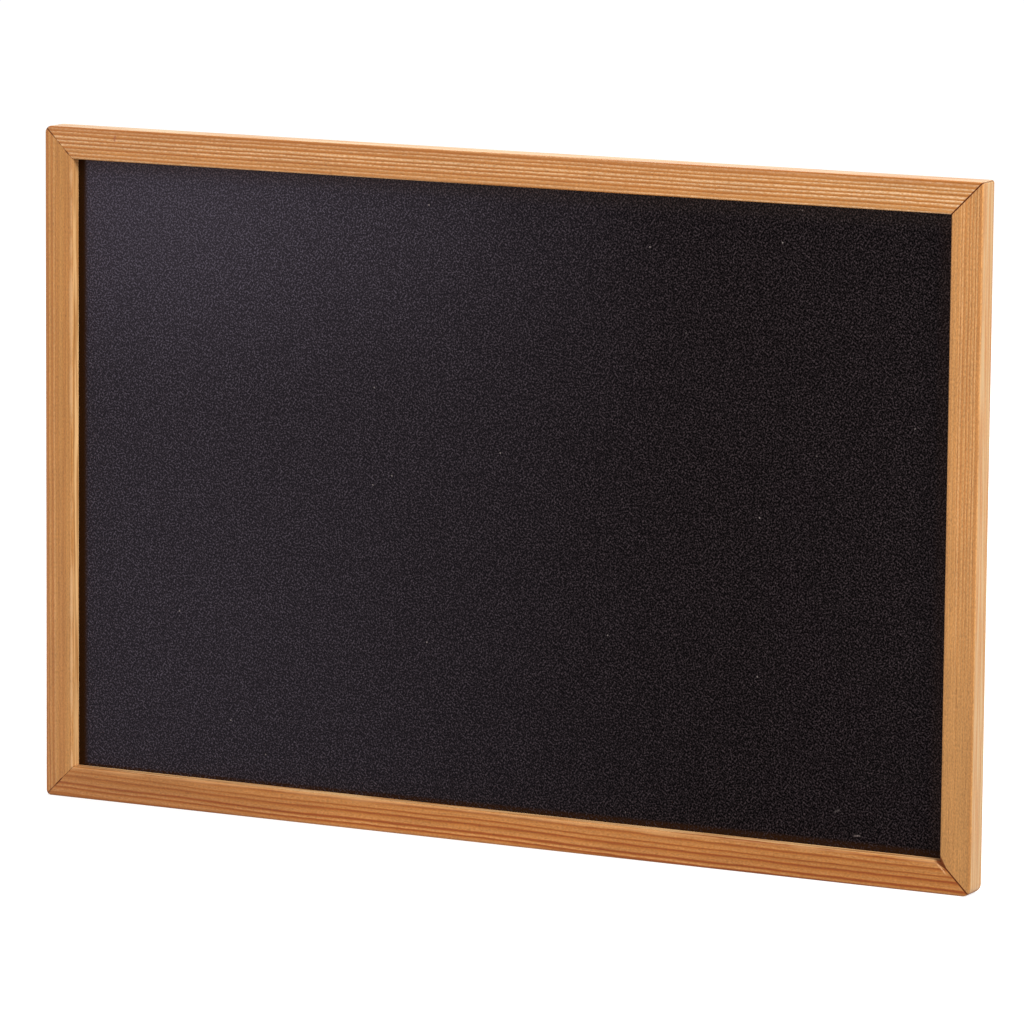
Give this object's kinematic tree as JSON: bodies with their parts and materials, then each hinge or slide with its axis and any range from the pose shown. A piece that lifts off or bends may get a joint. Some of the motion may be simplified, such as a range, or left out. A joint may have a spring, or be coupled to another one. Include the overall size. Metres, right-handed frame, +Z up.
{
  "type": "wall chalkboard",
  "caption": "Landscape chalkboard: black writing panel held in a mitred softwood frame, with swinging wire hanging rings behind.",
  "frame": {"origin": "middle of the bottom rail's underside, halfway through the frame's depth", "axes": "+X along the width to the viewer's right, +Y through the board towards the wall, +Z up"},
  "size_m": [0.3, 0.0106, 0.2],
  "materials": {
    "pine": "straight-grained softwood under a thin satin varnish, amber brown, with eased edges",
    "chalk_coat": "hardboard with a fine-pebbled, semi-matt black chalk coat on the front and a bare brown back",
    "zinced_steel": "bright zinc-plated steel"
  },
  "bodies": {
    "board": {"bottom_rail": "pine", "top_rail": "pine", "left_stile": "pine", "right_stile": "pine", "writing_panel": "chalk_coat", "corner_nail_bottom_left": "zinced_steel", "corner_nail_bottom_right": "zinced_steel", "corner_nail_top_right": "zinced_steel", "corner_nail_top_left": "zinced_steel", "hanger_strap_left": "zinced_steel", "hanger_screw_left": "zinced_steel", "hanger_strap_right": "zinced_steel", "hanger_screw_right": "zinced_steel"},
    "left_ring": {"hanger_ring_left": "zinced_steel"},
    "right_ring": {"hanger_ring_right": "zinced_steel"}
  },
  "joints": [
    {"name": "left_ring_swing", "type": "hinge", "parent": "board", "child": "left_ring", "pos_m": [-0.14495, 0.0053, 0.16], "axis": [1, 0, 0], "range_deg": [0, 180]},
    {"name": "right_ring_swing", "type": "hinge", "parent": "board", "child": "right_ring", "pos_m": [0.14495, 0.0053, 0.16], "axis": [1, 0, 0], "range_deg": [0, 180]}
  ]
}
